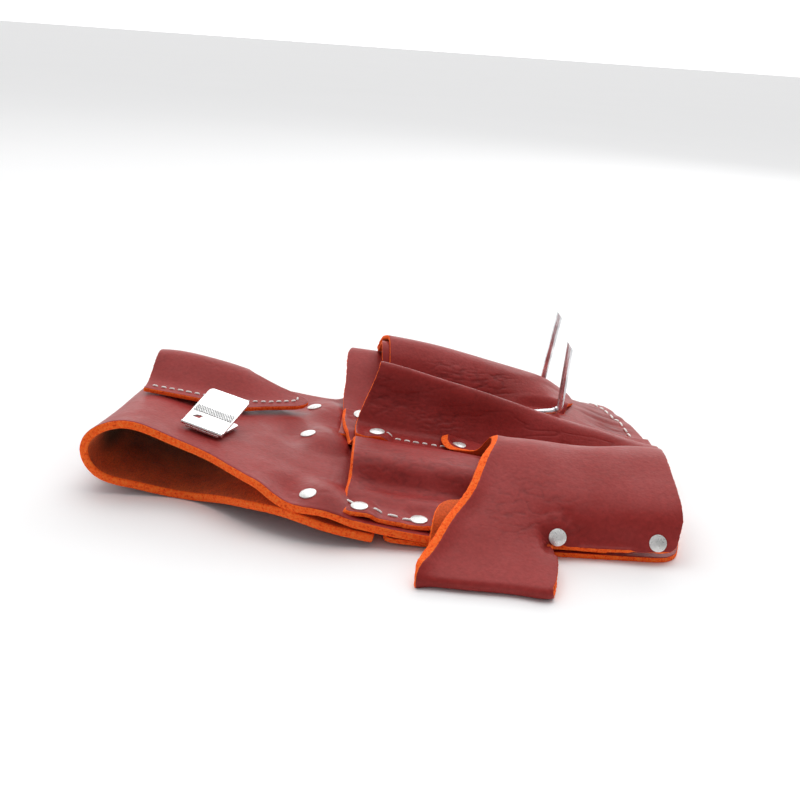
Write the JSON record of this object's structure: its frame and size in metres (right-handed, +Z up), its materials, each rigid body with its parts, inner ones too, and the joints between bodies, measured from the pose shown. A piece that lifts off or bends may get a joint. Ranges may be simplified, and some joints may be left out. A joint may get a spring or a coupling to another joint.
{
  "type": "electrician tool pouch",
  "caption": "Leather tool pouch with a belt tunnel, riveted pockets, a folded pliers sheath, a sprung tape clip and upright wire hammer prongs.",
  "frame": {"origin": "on the floor under the middle of the pouch's bounding box, with the pouch lying on its back", "axes": "+X from the belt tunnel towards the bottom of the pouch, +Y from the sheath side to the far side, +Z up out of the pouch's front"},
  "size_m": [0.3022, 0.2423, 0.0691],
  "materials": {
    "strap_leather": "oxblood grain side with raw orange edges, satin",
    "pocket_leather": "softer oxblood grain side with raw orange edges, satin",
    "white_thread": "waxed thread",
    "nickel_rivet": "nickel plated, lightly brushed",
    "nickel_clip": "bright nickel plated spring steel",
    "plated_steel": "zinc plated wire"
  },
  "bodies": {
    "pouch": {"back_panel": "strap_leather", "belt_loop": "strap_leather", "bottom_stitching": "white_thread", "closure_burrs": "nickel_rivet", "closure_rivets": "nickel_rivet", "far_tool_loop": "pocket_leather", "hammer_prongs": "plated_steel", "long_pocket": "pocket_leather", "long_pocket_burrs": "nickel_rivet", "long_pocket_rivets": "nickel_rivet", "long_pocket_stitching": "white_thread", "pliers_sheath": "pocket_leather", "prong_saddles": "plated_steel", "rear_pocket": "pocket_leather", "sheath_burrs": "nickel_rivet", "sheath_rivets": "nickel_rivet", "side_pocket": "pocket_leather", "side_pocket_burrs": "nickel_rivet", "side_pocket_rivets": "nickel_rivet", "side_pocket_stitching": "white_thread", "tape_clip_base": "nickel_clip", "tool_flap": "pocket_leather", "tool_flap_stitching": "white_thread"},
    "clip_tongue": {"tape_clip_tongue": "nickel_clip"}
  },
  "joints": [
    {"name": "tape_clip_spring", "type": "hinge", "parent": "pouch", "child": "clip_tongue", "pos_m": [-0.09496, -0.0325, 0.03228], "axis": [0.9182, -0.3746, -0.129], "range_deg": [-8, 12], "stiffness_Nm_per_rad": 0.6}
  ]
}
